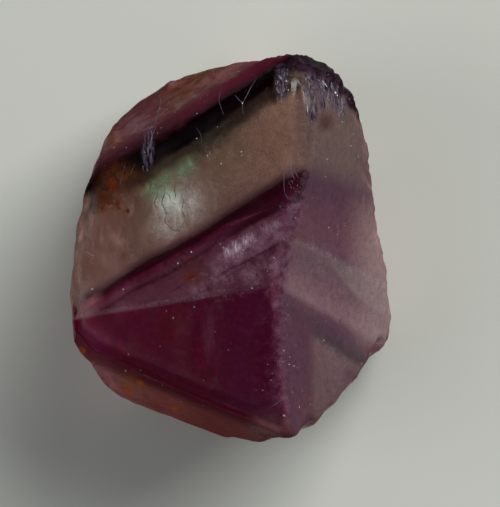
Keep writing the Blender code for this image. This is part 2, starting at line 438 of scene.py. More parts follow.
BACK_PATCHES = (
    ((-11.6, 11.9), 1.7, (114, 74, 84)), ((-7.5, 15), 2.4, (92, 52, 34)),
    ((-13.8, 10.4), 1, (112, 66, 34)), ((-13.6, 8.8), 1, (64, 14, 12)),
    ((-2.5, 16.3), 1.9, (124, 76, 74)), ((-5.4, 16.9), 1.3, (114, 76, 48)),
    ((-2.1, 16.8), 0.7, (116, 82, 90)), ((-5.8, 14.9), 0.7, (112, 86, 86)),
    ((-7.3, 13.8), 0.8, (108, 80, 76)), ((-10.4, 13.4), 1.6, (92, 40, 50)),
)
# The green, white and soft glows are painted light: glows of light reflected from veils inside the clear
# stone, laid into its surface colour.
GLOW_GREEN = (
    ((-9.6, 5.9), 2.1), ((-8.8, 6.9), 2.2), ((-8.4, 5.2), 2), ((-6.8, 8), 2.2), ((-11.3, 7.4), 0.7),
)
GREEN_GLOW = (132, 170, 130)
GLOW_WHITE = (((-8, 3.9), 2.5),)
GLOW_WHITISH = (((-8, 2.7), 2.7), ((-6.6, 4.2), 2.8))
WHITE_GLOW = (202, 204, 196)
GLOW_SOFT = (((-6.6, 4.3), 4.4), ((-9, 1.5), 2.4))
SOFT_GLOW = (160, 140, 134)
# The pale sheen is painted light: streaky spots of reflected light on the strip below the second line. Its
# colour also lays pale dots along the step.
PALE_SHEEN = (184, 164, 178)
SHEEN_SPOTS = (((-1.7, 0.1), 1.1), ((-2.5, -0.3), 0.8), ((-0.9, 0.8), 1))
FAINT_SHEEN_SPOTS = (((-0.4, 1.3), 1.2), ((0.9, 2), 1.1), ((-1.8, -0.2), 1.4), ((1.9, 2.4), 0.8))
BRUISE_PLACE, BRUISE_LILAC = (-10.15, 2.85, 0), (104, 92, 112)
HAZY = (144, 108, 128)
HAZY_SPOTS = (
    ((-2.3, -0.8), 2.5), ((-3.5, -2.4), 2.1), ((0, 0.4), 2.2), ((1.6, 1.4), 1.8), ((-5.4, -3.8), 1.3),
    ((-0.4, -2.4), 1.8), ((1.6, -1.5), 1.3),
)
FAN_MIDDLE = (-40.8, 21.65)
FAN_RANGE = (0.20, 0.90)
RIGHT_BANDS = (
    (0.20, (114, 91, 86)), (0.275, (114, 91, 88)), (0.30, (106, 80, 86)), (0.325, (88, 55, 74)),
    (0.36, (94, 57, 76)), (0.42, (110, 68, 84)), (0.455, (106, 70, 88)), (0.47, (116, 90, 100)),
    (0.49, (110, 82, 94)), (0.535, (126, 92, 104)), (0.578, (140, 108, 114)), (0.593, (100, 64, 82)),
    (0.612, (90, 58, 76)), (0.630, (78, 60, 68)), (0.641, (82, 64, 70)), (0.656, (120, 94, 100)),
    (0.72, (112, 84, 90)), (0.80, (106, 82, 82)), (0.90, (104, 80, 80)),
)
RIGHT_PALE, RIGHT_BROWN, RIGHT_GREY = (176, 148, 150), (134, 98, 98), (134, 116, 118)
APEX = ((1.3, -17.3), 2.9, (120, 74, 78))
RIGHT_DULL, RIGHT_LINE = (92, 55, 74), (96, 68, 78)
FRONT_DARK, FRONT_LEFT = (84, 14, 34), (104, 40, 54)
FRONT_NEAR, FRONT_PALE, FRONT_FAR = (124, 54, 56), (146, 75, 72), (164, 102, 104)
FRONT_DIM, FRONT_RUST, CREASE = (120, 50, 50), (168, 88, 36), (76, 18, 38)
FRONT_FADE = (23.2, 19)
BROKEN_PALE, BROKEN_LEFT = (98, 66, 72), (144, 110, 100)
UNDER, UNDER_RIM = (225, 190, 198), (150, 112, 122)
RIDGE_DARK, RIDGE_GREY = (74, 28, 50), (112, 84, 106)
CORNER_DARK, CORNER_BLACK, SILVER, LILAC = (44, 26, 40), (18, 8, 16), (132, 126, 138), (80, 68, 80)
CORNER_CAP = (
    ((6.2, 17.2), 2.4), ((8.3, 15.9), 2.1), ((9.7, 14.2), 1.6), ((4.2, 17.6), 1.7), ((7, 16.2), 1.8),
    ((10.5, 12.9), 1), ((2.6, 17), 1),
)
CORNER_SILVER = (
    ((2.6, 15.4), (0.8, 2)), ((5.2, 14.8), (0.8, 1.9)), ((6.3, 14.6), (0.9, 1.9)),
    ((7.4, 14.3), (0.8, 1.4)), ((5.4, 12.9), (0.7, 1.5)), ((8.1, 13.4), (0.6, 1.4)),
)
CORNER_BROWN = ((6.6, 11.9), 1.3, (86, 54, 48))
CORNER_OLIVE = ((3.9, 15.8), 1.3, (76, 62, 50))
RUST, RUST_DARK, RUST_HAZE = (92, 32, 8), (62, 18, 6), (128, 66, 26)
RUST_STAINS = (
    ((-13.9, 4.6), 1.3), ((-13, 4.2), 0.9), ((-14.5, 4), 0.7), ((-12.1, 3.6), 0.5),
    ((-13.4, 5.8), 0.9), ((-6.1, -2.7), 0.6), ((-12.4, -13.4), 0.7), ((-12.1, -14), 0.5),
    ((-11, -12.9), 0.5), ((-7.7, -15.5), 0.6), ((-16.5, -9.8), 0.5), ((-5.8, 16.8), 0.7),
    ((-4.3, 17), 0.5),
)
RUST_HAZES = (
    ((-12.6, 5.8), 2.6), ((-13.6, 4.6), 2.2), ((-5.8, -2.4), 1.7), ((-12, -12.8), 1.6), ((-7.2, 16), 1.6),
    ((4.5, -5.6), 0.6), ((6, -9.6), 0.7), ((5.9, -10.6), 0.7), ((5, -14), 0.8), ((4.9, -15), 0.8),
    ((3.9, 0.6), 1.3), ((-12.4, -0.6), 0.5),
)
RED_SPOTS = (
    ((-7.8, -7.3), 1.2), ((-10.7, -8.9), 0.8), ((-6.5, -12.9), 0.5), ((-3.1, -13.2), 0.5),
    ((-2.9, -15.4), 0.7), ((-5.6, -14.5), 0.5), ((-5, -8.9), 0.5), ((-9, -8.4), 0.9),
)
RED_SPOT = (92, 10, 14)
# How hazy each soft mark makes the clear stone.
MARK_HAZES = {"rust": 0.5, "soft": 0.15, "green": 0.2, "white": 0.3, "hazy": 0.2, "brushed": 0.5,
              "bruise": 0.5}
PURPLE_CHIP = ((11.5, -9.8), 1.3, (104, 40, 60))
SHADE_PATCH = ((9.2, -12.2), 1.1, (98, 66, 76))


def sheet_spot(n, m, middle, radius, soft=0.9):
    return n.spot(m.sheet, (*middle, 0), radius, soft)


def spots_share(n, m, spots, soft=0.9):
    return n.most(0, *(sheet_spot(n, m, middle, radius, soft) for middle, radius in spots))


def patch(n, m, middle, radius, tint, strength=1):
    """A soft round patch of a tint, as a layer."""
    return tint, sheet_spot(n, m, middle, radius), strength


def beyond_line(n, m, place, angle):
    """How far up a point of the sheet lies from a line through a place, at an angle in degrees."""
    a = math.radians(angle)
    up = (-math.sin(a), math.cos(a), 0)
    start = -math.sin(a) * place[0] + math.cos(a) * place[1]
    return n.minus(n.along(m.sheet, up), start)


def rust_share(n, m, stains, grow, low, high):
    """1 in the middle of each stain, with a ragged rim."""
    found = spots_share(n, m, [(middle, radius * grow) for middle, radius in stains])
    return n.product(found, n.span(n.noise(m.point, 2.4, 5, 0.65), low, high))


def surface_marks(n, point):
    """The noises, places and soft spots that colour, haze and gloss share."""
    m = SimpleNamespace(point=point)
    m.across, m.up, m.height = (n.along(point, way) for way in (ACROSS, (0, 1, 0), (0, 0, 1)))
    m.sheet = n.flat(m.across, m.up)
    m.wobble = n.product(n.minus(n.noise(point, 0.30, 4), 0.5), 0.7)
    m.cloud = n.noise(point, 0.28, 5, 0.6)
    m.grain = n.noise(point, 1.6, 5, 0.6)
    m.uneven = n.minus(m.grain, 0.5)
    m.fine = n.noise(point, 6, 3, 0.6)
    # the growth bands bend in the middle, and the black one is narrower at the left
    straight = n.along(point, GROWTH)
    bent = n.product(n.span(m.across, -13, -5), n.span(straight, 5, 7.5), -0.45)
    narrow = n.product(n.span(m.across, -10.5, -12.5), n.span(straight, 3.5, 2), 0.45)
    m.grown = n.total(straight, bent, narrow, n.product(m.wobble, 0.5), n.product(m.uneven, 0.35))
    lay = n.flat(n.product(straight, 3.2), n.product(n.along(point, STREAK_WAY), 0.22))
    m.streak = n.noise(lay, 1, 5, 0.65, 0.2)
    m.down = n.drawn_out(m.sheet, (3.4, 0.35), rough=0.65, distortion=0.3)
    m.veil = n.drawn_out(m.sheet, (1.5, 0.5), 0.25, distortion=0.8)
    veil = n.span(m.veil, 0.36, 0.62)
    # the masks of the painted glows of reflected light: green, white and soft
    m.green = n.product(spots_share(n, m, GLOW_GREEN), n.total(0.5, n.product(veil, 0.5)))
    whitish = n.product(spots_share(n, m, GLOW_WHITISH), 0.55)
    white = n.most(spots_share(n, m, GLOW_WHITE), whitish)
    m.white = n.product(white, n.total(0.6, n.product(veil, 0.4)))
    m.soft = spots_share(n, m, GLOW_SOFT)
    m.below = n.minus(beyond_line(n, m, *SECOND_LINE[:2]), n.product(m.wobble, 0.6))
    # a painted sheen: streaky spots of reflected light below the second line, some faint
    brush = n.span(n.drawn_out(m.sheet, (5.5, 1.1), 0.30, distortion=0.3), 0.36, 0.68)
    faint_sheen = n.product(spots_share(n, m, FAINT_SHEEN_SPOTS), 0.42)
    brushed = n.most(spots_share(n, m, SHEEN_SPOTS), faint_sheen)
    m.brushed = n.product(brushed, n.total(0.25, n.product(brush, 0.75)), n.span(m.below, 0, -0.8))
    fibre = n.span(n.drawn_out(m.sheet, (6, 0.8), -0.12, rough=0.65, distortion=0.5), 0.44, 0.60)
    m.bruise = n.product(n.spot(n.scaled(m.sheet, (1, 0.3, 1)), BRUISE_PLACE, 0.8, 0.7), fibre)
    m.hazy = n.product(spots_share(n, m, HAZY_SPOTS), n.span(m.grain, 0.22, 0.60),
                       n.span(m.below, -0.3, -1.2))
    second = n.product(n.band(m.below, -SECOND_LINE[2], SECOND_LINE[2], 0.25), n.span(m.across, -9, 0))
    wide = n.product(n.span(m.across, -5, 2.5), 1.2)
    thick = n.product(n.span(m.grown, 7.9, 8.2), n.span(n.minus(m.grown, wide), 8.4, 8.2))
    m.second = n.most(second, thick)
    m.upper = n.span(m.height, 12, 15)
    m.rust = n.product(m.upper, rust_share(n, m, RUST_STAINS, 1.3, 0.36, 0.54))
    return m


def clear_colour(n, m, colour):
    """The clear part of the top face: tan at the right, grey at the left, green under the black band."""
    clear = n.band(m.grown, 2.4, 7.3, 0.5)
    shade = n.span(n.noise(m.point, 0.55, 4, 0.6), 0.50, 0.34)
    return n.over(
        colour,
        (CLEAR_TAN, clear, n.span(m.across, -3, 4)),
        (CLEAR_END, clear, n.span(m.across, 3, 5)),
        (CLEAR_GREY, clear, n.span(m.across, -9, -12.5)),
        (CLEAR_GREEN, n.band(m.grown, 1.6, 3, 0.5), n.band(m.across, -10, -2, 1.5), 0.7),
        # painted light: the soft glow here, and the green and the white glow below
        (SOFT_GLOW, m.soft, clear, 0.85),
        (CLEAR_VEIL, n.span(m.veil, 0.46, 0.66), n.span(m.fine, 0.30, 0.62), clear, 0.65),
        (CLEAR_GREY, shade, clear, 0.45),
        (GREEN_GLOW, m.green, clear),
        (WHITE_GLOW, m.white, clear))


def strip_colour(n, m, colour):
    """The banded strip between the dark line and the step: a second dark line, streaks, whitish lint."""
    strip = n.band(m.grown, 8.8, 15.5, 0.3)
    bright = n.product(n.band(m.below, -1.5, -0.6, 0.3), n.span(m.across, -9, 0), n.span(m.across, 2, -1))
    lint = n.product(strip, n.total(n.span(m.streak, 0.48, 0.66), 0.25), n.span(m.fine, 0.42, 0.60))
    return n.over(
        colour,
        (SECOND_BRIGHT, bright, 0.8),
        (STRIP_LINT, lint, n.span(m.across, -12, -5, 0.1, 0.45)),
        (PURPLE_HEM, strip, n.span(m.streak, 0.46, 0.34), 0.5),
        (HAZY, m.hazy, strip, 0.8),
        (THIRD_LINE[2], n.band(m.below, *THIRD_LINE[:2], 0.16), n.band(m.across, -3.4, 2.6, 0.8), 0.8),
        (SECOND_DARK, m.second, 0.92),
        (TIP_LILAC, n.band(m.grown, 7.9, 9.6, 0.3), n.span(m.across, -14, -15.9), 0.75))


def purple_colour(n, m):
    """The deep purple in front of the step."""
    streak = n.spot(n.scaled(m.sheet, (1, 0.24, 1)), STREAK_PLACE, 0.85, 0.8)
    mottle = n.total(0.15, n.product(n.span(m.across, -2, 2.5), 0.3))
    flecks = n.product(n.span(m.fine, 0.52, 0.64), n.span(m.grain, 0.42, 0.55))
    return n.over(
        PURPLE_RED,
        (PURPLE_RIGHT, n.span(m.across, -4.5, -1.5)),
        (PURPLE, n.span(m.cloud, 0.35, 0.65)),
        (PURPLE_STREAK, streak, n.span(m.down, 0.3, 0.6), 0.8),
        (PURPLE_PALE, n.span(m.grain, 0.50, 0.70), mottle),
        (RIDGE_GREY, flecks, n.span(m.across, -0.5, 2.2), 0.5),
        (RED_SPOT, rust_share(n, m, RED_SPOTS, 1.3, 0.46, 0.62)))


def top_colour(n, m):
    """The top face: its growth bands up to the step, and the deep purple beyond it."""
    thicker = n.product(sheet_spot(n, m, *BLACK_BULGE[:2]), BLACK_BULGE[2])
    colour = n.ramp(n.minus(m.grown, thicker), *BAND_RANGE, TOP_BANDS)
    to_step = n.minus(n.along(m.point, STEP[0]), STEP[1])
    ragged = n.product(m.uneven, n.span(m.across, -6, -1), 2.6)
    flecks = n.product(n.band(to_step, -1.2, 0.6, 0.5), n.span(m.grain, 0.54, 0.66))
    dots = n.product(n.band(to_step, -0.35, 0.05, 0.15), n.span(m.fine, 0.48, 0.60))
    return n.over(
        strip_colour(n, m, clear_colour(n, m, colour)),
        # the painted sheen of reflected light on the strip
        (PALE_SHEEN, m.brushed),
        (purple_colour(n, m), n.span(n.total(to_step, ragged), -0.2, 0.25)),
        (HAZY, flecks, n.span(m.across, -6, -3), 0.35),
        (PALE_SHEEN, dots, n.span(m.across, -1, -6), 0.5))


def back_colour(n, m):
    """The strip behind the black band, magenta fading to brown and mauve at the left, and its share."""
    out = n.minus(beyond_line(n, m, *BACK_LINE), n.product(m.wobble, 0.8))
    left, right = (n.ramp(out, *BACK_RANGE, bands) for bands in (BACK_LEFT, BACK_RIGHT))
    far, grainy = n.span(out, 0.2, 1), n.span(m.grain, 0.30, 0.52)
    mottle = n.noise(m.point, 0.6, 4, 0.55)
    some = n.total(0.35, n.product(far, 0.65))
    colour = n.over(
        left,
        (right, n.span(m.across, -11, -5)),
        *((tint, sheet_spot(n, m, middle, radius), far, grainy) for middle, radius, tint in BACK_PATCHES),
        (BACK_LIGHT, some, n.span(mottle, 0.52, 0.66), far, 0.6),
        (BACK_SHADE, some, n.span(mottle, 0.50, 0.38), 0.6))
    sharp, soft = n.span(out, -1.4, -0.9), n.span(out, -2.8, 1.6)
    low = n.span(m.height, 21.5, 17.5)
    return colour, n.total(n.product(sharp, n.less(low)), n.product(soft, low))


def right_colour(n, m):
    """The right face. Its bands fan out, and a pale crescent with a greyer inside lies across them."""
    across = m.across
    fan = n.math("DIVIDE", n.minus(FAN_MIDDLE[1], m.up), n.minus(across, FAN_MIDDLE[0]))
    fan = n.total(fan, n.product(m.wobble, 0.02), n.product(m.uneven, 0.02))
    crescent = n.minus(fan, n.total(0.487, n.product(n.span(across, 6.5, 11), 0.037)))
    inside = n.product(n.span(crescent, 0.008, -0.008), n.span(fan, 0.456, 0.474))
    pale = n.product(n.band(fan, 0.462, 0.470, 0.008), n.span(across, 8.5, 6), n.span(m.fine, 0.30, 0.60))
    return n.over(
        n.ramp(fan, *FAN_RANGE, RIGHT_BANDS),
        (RIGHT_BROWN, n.band(fan, 0.34, 0.47, 0.03), n.span(across, 8, 11.5), 0.8),
        (RIGHT_GREY, inside, n.span(across, 6, 9), 0.75),
        (RIGHT_LINE, n.band(crescent, 0, 0.003, 0.002), n.span(across, 7.5, 9.5), 0.55),
        (RIGHT_LINE, n.band(crescent, -0.030, -0.026, 0.002), n.span(across, 9.5, 11), 0.5),
        (RIGHT_PALE, pale, 0.30),
        (RIGHT_DULL, n.span(across, 6.1, 4.9), n.span(fan, 0.60, 0.64)),
        patch(n, m, *SHADE_PATCH, 0.8),
        patch(n, m, *PURPLE_CHIP, 0.9),
        patch(n, m, *CORNER_BROWN),
        (RIGHT_PALE, n.span(across, 8, 13), n.span(m.up, 8, 0), n.span(m.up, -11, -8), 0.7),
        (RIGHT_PALE, n.span(m.down, 0.56, 0.70), n.span(m.fine, 0.35, 0.6), 0.16),
        (RIGHT_DULL, n.span(m.down, 0.46, 0.34), 0.24))


def front_colour(n, m, colour):
    """The front face: purple at its top, then pale and stained."""
    height = n.total(m.height, m.wobble, n.product(m.uneven, 1.2))
    pale = n.over(
        FRONT_NEAR,
        (FRONT_PALE, n.span(m.across, -4, -9)),
        (FRONT_FAR, n.span(m.across, -9.5, -13.5)),
        (FRONT_DIM, n.span(n.noise(m.point, 0.7, 5, 0.65), 0.54, 0.36), 0.55))
    dark = n.mix(n.span(m.across, -10.5, -14.5), FRONT_DARK, FRONT_LEFT)
    return n.over(colour, (dark, n.span(height, 25.6, 24.4)), (pale, n.span(height, *FRONT_FADE)))


def corner_share(n, m):
    """How far each point belongs to the dark cap, and to the silvery splinters below it."""
    silver = 0
    for middle, size in CORNER_SILVER:
        flat = n.scaled(m.sheet, (1 / size[0], 1 / size[1], 1))
        place = (middle[0] / size[0], middle[1] / size[1], 0)
        silver = n.most(silver, n.spot(flat, place, 1.25, 0.7))
    return spots_share(n, m, CORNER_CAP, 0.5), silver


def corner_colour(n, m, colour):
    """Dark purple, with silvery splinters that run down from the tip."""
    run = n.drawn_out(m.sheet, (4.5, 0.55), -0.10, 6, 0.7, 0.6)
    dark = n.mix(n.span(m.grain, 0.40, 0.62), CORNER_BLACK, CORNER_DARK)
    splinter = n.over(dark, (LILAC, n.span(run, 0.40, 0.52)), (SILVER, n.span(run, 0.54, 0.66)))
    return n.over(
        colour,
        (dark, m.cap, n.span(m.grain, 0.25, 0.45)),
        (splinter, m.silver, n.span(m.grain, 0.30, 0.48)))


def ridge_colour(n, m, colour):
    """The rubbed ridge: dull purple with greyish flecks, ragged on both sides, and tan at its top."""
    band = n.product(m.ridge, n.span(m.grown, 9.2, 10.2))
    fleck = n.noise(m.point, 1.4, 6, 0.75)
    return n.over(
        colour,
        (WORN_TAN, m.ridge, n.span(m.grown, 8.2, 7.4), 0.65),
        (RIDGE_DARK, band, n.span(fleck, 0.60, 0.40), 0.75),
        (RIDGE_GREY, band, n.span(fleck, 0.42, 0.60), 0.85))


def stone_colour(n, m, behind):
    """The faces' colours, then the creases, broken rims, corner, stains and speckles over them."""
    off_right = n.less(m.right)
    colour = n.over(
        top_colour(n, m),
        (right_colour(n, m), m.right),
        (FRONT_FAR, n.span(m.height, 22.6, 21.4), n.span(m.grown, 7.5, 8.5), off_right),
        (behind, m.behind, off_right),
        (CREASE, n.span(m.front, 0, 0.3), n.span(m.grown, 7.6, 8.2), n.span(m.height, 20, 21.5)))
    colour = n.over(colour, (front_colour(n, m, colour), n.span(m.front, 0.25, 1)))
    rim = n.mix(n.span(m.across, -14, -6), BROKEN_LEFT, BROKEN_PALE)
    bare = n.most(n.span(m.up, -6.8, -5.8), n.span(m.across, -12.5, -10))
    off_edge = n.span(n.math("MINIMUM", m.front, m.top), 0.2, 0.04)
    upper = n.most(m.top, m.right, m.back, m.front)
    colour = n.over(
        colour,
        (rim, m.broken, bare, n.span(m.across, -14, -6, 0.85, 0.5), off_edge),
        (n.mix(m.broken, UNDER, UNDER_RIM), n.less(upper), n.span(m.height, 20, 12)))
    rusty = n.product(m.upper, rust_share(n, m, RUST_HAZES, 1.2, 0.25, 0.60))
    stain = n.mix(n.span(m.grain, 0.48, 0.60), RUST, RUST_DARK)
    colour = n.over(
        corner_colour(n, m, ridge_colour(n, m, colour)),
        patch(n, m, *CORNER_OLIVE, 0.8),
        (BRUISE_LILAC, m.bruise, 0.85),
        patch(n, m, *APEX, n.span(m.grain, 0.18, 0.48)),
        (RUST_HAZE, rusty, n.span(m.across, 0, 3, 0.6, 0.25)),
        (n.mix(m.front, stain, FRONT_RUST), m.rust))
    speckle = n.total(n.span(m.fine, 0.25, 0.75, 0.82, 1.20), n.span(m.grain, 0.3, 0.7, -0.14, 0.14))
    grey = n.add("ShaderNodeCombineColor", {0: speckle, 1: speckle, 2: speckle}).outputs[0]
    return n.mix(1, colour, grey, "MULTIPLY")


def stone_haze(n, m):
    """The share of the stone that isn't see-through at each point."""
    past_step = n.span(n.along(m.point, STEP[0]), 4.5, 4.9)
    before_step = n.less(past_step)
    behind = n.most(m.behind, n.span(m.back, 0, 0.6))
    black = n.product(n.span(m.grown, 1.9, 1), n.less(m.behind))
    line = n.most(n.band(m.grown, 8.1, 8.8, 0.2), m.second)
    bands = n.total(n.product(n.band(m.grown, 2.2, 7.8, 0.5), 0.14),
                    n.product(n.band(m.grown, 8.5, 15.5, 0.4), before_step, 0.16),
                    n.product(past_step, 0.22), n.product(black, 0.5), n.product(line, before_step, 0.40))
    return n.total(0.07, n.product(m.top, n.less(m.behind), bands), n.product(black, behind, 0.25),
                   n.product(m.right, 0.50), n.product(behind, 0.80),
                   n.product(n.span(m.front, 0, 0.6), 0.80), n.product(m.ridge, 0.25),
                   n.product(m.broken, n.span(m.across, -13, -11, 0.5, 0.35)),
                   *(n.product(getattr(m, mark), share) for mark, share in MARK_HAZES.items()),
                   n.product(n.most(m.cap, m.silver), 0.4))


def fluorite():
    material, n = new_material("fluorite")
    m = surface_marks(n, n.place())
    m.top, right, m.back, m.front, m.broken, m.ridge = (n.attribute(name) for name in SHADED_PARTS)
    # the top's colour runs a little way down over the worn ridge
    ragged = n.total(m.height, n.product(m.uneven, 3.6))
    m.right = n.product(right, n.span(ragged, 24.5, 23.2))
    behind, share = back_colour(n, m)
    m.behind = n.product(share, n.most(m.back, n.span(m.grown, 1, 0)))
    m.cap, m.silver = corner_share(n, m)
    rough = n.total(0.14, n.product(m.right, 0.34), n.product(m.behind, 0.30), n.product(m.front, 0.30),
                    n.product(m.broken, 0.2), n.product(m.ridge, 0.25), n.product(m.silver, 0.1))
    clearness = n.most(n.less(stone_haze(n, m)), LEAST_CLEAR)
    pits = n.total(n.noise(m.point, 2.2, 6, 0.65), n.noise(m.point, 9, 3, 0.6))
    surface = n.principled(stone_colour(n, m, behind), rough, Transmission_Weight=clearness, IOR=IOR,
                           Specular_IOR_Level=0, Normal=n.bump(pits, 0.25, 0.05))
    smoke = n.add("ShaderNodeVolumeAbsorption", {"Color": SMOKE, "Density": SMOKE_DENSITY})
    n.finish(Surface=surface, Volume=smoke.outputs[0])
    return material


stone.data.materials.append(fluorite())
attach(stone, "root")
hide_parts("fluorite_octahedron")

# The splinters and the dust.
# Thin cleavage flakes, silvery and still half fast, on the bruised corner, on a bruise at the left
# and along the ridge, and pale dust on the upper faces. Both are scattered over the stone.
FLAKE_WIDTH, FLAKE_THICKNESS = 0.20, 0.06
FLAKE_LIE = (0.10, -1, -0.25)
FLAKE_TILT = 14
CORNER_FLAKES = {"name": "corner_splinters", "places": "splinters", "per_mm2": 8,
                 "length": (0.2, 1.4), "seed": 4}
BRUISE_FLAKES = {"name": "bruise_splinters", "places": "bruised", "per_mm2": 6,
                 "length": (0.15, 0.75), "seed": 7}
RIDGE_FLAKES = {"name": "ridge_chips", "places": "chips", "per_mm2": 4,
                "length": (0.12, 0.55), "seed": 9}
DUST = {"name": "dust", "places": "dusty", "per_mm2": 1.2, "length": (0.03, 0.17), "seed": 12}
DUSTY_PLACES = (
    ((-1.5, -1.5), 5), ((3, -6), 3.5), ((3, -11), 3), ((3, 5), 2.5), ((4, -15), 3),
)
DUST_ELSEWHERE, DUST_SHAPE = 0.14, (0.8, 1.2, 0.5)
BRUISE = (
    ((-9.9, 11.6), 0.40), ((-9.9, 10.7), 0.45), ((-10, 9.7), 0.40), ((-10.2, 8.7), 0.35),
    ((-10.5, 7.6), 0.35), ((-10.7, 6.8), 0.30),
)
BRUISED_HEIGHTS = (16, 19)
FLAKE_TINTS = (
    (0, (30, 16, 30)), (0.42, (54, 42, 52)), (0.50, (88, 78, 90)), (0.60, (146, 142, 154)),
    (1, (206, 206, 214)),
)
FLAKE_CLEARNESS = 0.35
DUST_COLOURS = ((112, 94, 102), (196, 190, 190))
MOSTLY_SMALL = 2.5
SCATTER_INPUTS = {"Geometry": "Geometry", "Places": "String", "Density": "Float", "Smallest": "Float",
                  "Largest": "Float", "Seed": "Int", "Material": "Material"}


def on_sheet(points):
    """The points' places across and up the leaning sheet."""
    return np.stack([points @ np.array(ACROSS), points[:, 1]], axis=1)


def near_spots(sheet, spots, start, end):
    """1 at any of the spots, fading to 0 from one share of its size to another."""
    away = [np.linalg.norm((sheet - np.array(middle)) / np.array(size), axis=1) for middle, size in spots]
    return 1 - ramp(np.min(away, axis=0), start, end)


def mark_places(mesh):
    """Says where the splinters, the ridge chips and the dust lie."""
    points = vectors(mesh.vertices, "co") / MM
    sheet = on_sheet(points)
    upward = ramp(vectors(mesh.vertices, "normal")[:, 2], 0.15, 0.45)
    ridge = np.empty(len(points), np.float32)
    mesh.attributes["ridge"].data.foreach_get("value", ridge)
    low = 1 - ramp(points @ np.array(GROWTH), 9, 6.5)
    places = {
        "dusty": np.maximum(near_spots(sheet, DUSTY_PLACES, 0.3, 1), DUST_ELSEWHERE) * upward,
        "splinters": near_spots(sheet, CORNER_SILVER, 0.5, 1) * upward
        * ramp(lumps(points, 0.9, 2), -0.45, 0.2),
        "bruised": near_spots(sheet, BRUISE, 0.6, 1.2) * ramp(points[:, 2], *BRUISED_HEIGHTS),
        "chips": ramp(ridge, 0.3, 0.8) * ramp(lumps(points, 1.5, 2), -0.1, 0.25) * low,
    }
    for name, value in places.items():
        mesh.attributes.new(name, "FLOAT", "POINT").data.foreach_set("value", value.astype(np.float32))


def scatter_tree(name, grain):
    """Geometry nodes that scatter one grain over a mesh, by a named share of each place."""
    tree = bpy.data.node_groups.new(name, "GeometryNodeTree")
    for label, kind in SCATTER_INPUTS.items():
        tree.interface.new_socket(label, in_out="INPUT", socket_type=f"NodeSocket{kind}")
    tree.interface.new_socket("Geometry", in_out="OUTPUT", socket_type="NodeSocketGeometry")
    n = Nodes(tree)
    given = n.add("NodeGroupInput").outputs
    share = n.add("GeometryNodeInputNamedAttribute", {"Name": given["Places"]}, data_type="FLOAT")
    density = n.product(share.outputs["Attribute"], given["Density"])
    spots = n.add("GeometryNodeDistributePointsOnFaces",
                  {"Mesh": given["Geometry"], "Density": density, "Seed": given["Seed"]})
    lie = n.add("FunctionNodeAlignRotationToVector",
                {"Rotation": spots.outputs["Rotation"], "Vector": FLAKE_LIE}, axis="Y", pivot_axis="Z")
    tilt = math.radians(FLAKE_TILT)
    lean = n.add("FunctionNodeRandomValue", {0: (-tilt,) * 3, 1: (tilt,) * 3, "Seed": given["Seed"]},
                 data_type="FLOAT_VECTOR")
    lean_turn = n.add("FunctionNodeEulerToRotation", {"Euler": lean.outputs[0]})
    turn = n.add("FunctionNodeRotateRotation",
                 {"Rotation": lie.outputs[0], "Rotate By": lean_turn.outputs[0]}, rotation_space="LOCAL")
    chance = n.add("FunctionNodeRandomValue", {"Seed": given["Seed"]}).outputs[1]
    size = n.add("ShaderNodeMapRange", {"Value": n.math("POWER", chance, MOSTLY_SMALL),
                                        "To Min": given["Smallest"], "To Max": given["Largest"]})
    copies = n.add("GeometryNodeInstanceOnPoints",
                   {"Points": spots.outputs["Points"], "Instance": grain(n),
                    "Rotation": turn.outputs[0], "Scale": size.outputs["Result"]})
    solid = n.add("GeometryNodeRealizeInstances", {"Geometry": copies.outputs[0]})
    painted = n.add("GeometryNodeSetMaterial", {"Geometry": solid.outputs[0], "Material": given["Material"]})
    n.add("NodeGroupOutput", {"Geometry": painted.outputs[0]})
    return tree


def flake_shape(n):
    """A five-sided plate, one long."""
    plate = n.add("GeometryNodeMeshCone", {"Vertices": 5, "Radius Top": 0.36, "Radius Bottom": 0.5,
                                           "Depth": FLAKE_THICKNESS}).outputs["Mesh"]
    return n.add("GeometryNodeTransform", {"Geometry": plate, "Scale": (FLAKE_WIDTH, 1, 1)}).outputs[0]


def dust_shape(n):
    """A small lump, one across."""
    ball = n.add("GeometryNodeMeshIcoSphere", {"Radius": 0.5, "Subdivisions": 1}).outputs["Mesh"]
    return n.add("GeometryNodeTransform", {"Geometry": ball, "Scale": DUST_SHAPE}).outputs[0]


def scattered(tree, material, kind):
    """One mesh of grains, scattered over a copy of the stone."""
    piece = new_piece(kind["name"], stone.data.copy())
    given = {"Places": kind["places"], "Density": kind["per_mm2"] / MM**2, "Seed": kind["seed"],
             "Smallest": kind["length"][0] * MM, "Largest": kind["length"][1] * MM, "Material": material}
    scatter = piece.modifiers.new("scatter", "NODES")
    scatter.node_group = tree
    for item in tree.interface.items_tree:
        if item.in_out == "INPUT" and item.name in given:
            scatter[item.identifier] = given[item.name]
    baked(piece)
    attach(piece, "root")


def splinter_material():
    """Silvery cleavage flakes, some dark purple."""
    material, n = new_material("splinter")
    point = n.place()
    colour = n.ramp(n.noise(point, 2.4, 5, 0.75), 0, 1, FLAKE_TINTS)
    rough = n.span(n.noise(point, 3), 0.3, 0.7, 0.15, 0.4)
    pits = n.bump(n.noise(point, 8), 0.3, 0.02)
    n.finish(Surface=n.principled(colour, rough, Transmission_Weight=FLAKE_CLEARNESS, IOR=IOR, Normal=pits))
    return material


def fine_material(name, colours, roughness, places, gloss_places=5):
    """Two colours in patches, for dust, threads, cracks, and crumbs and painted glints."""
    material, n = new_material(name)
    point = n.place()
    colour = n.mix(n.span(n.noise(point, places), 0.35, 0.65), *colours)
    rough = n.span(n.noise(point, gloss_places), 0.3, 0.7, *roughness)
    n.finish(Surface=n.principled(colour, rough))
    return material


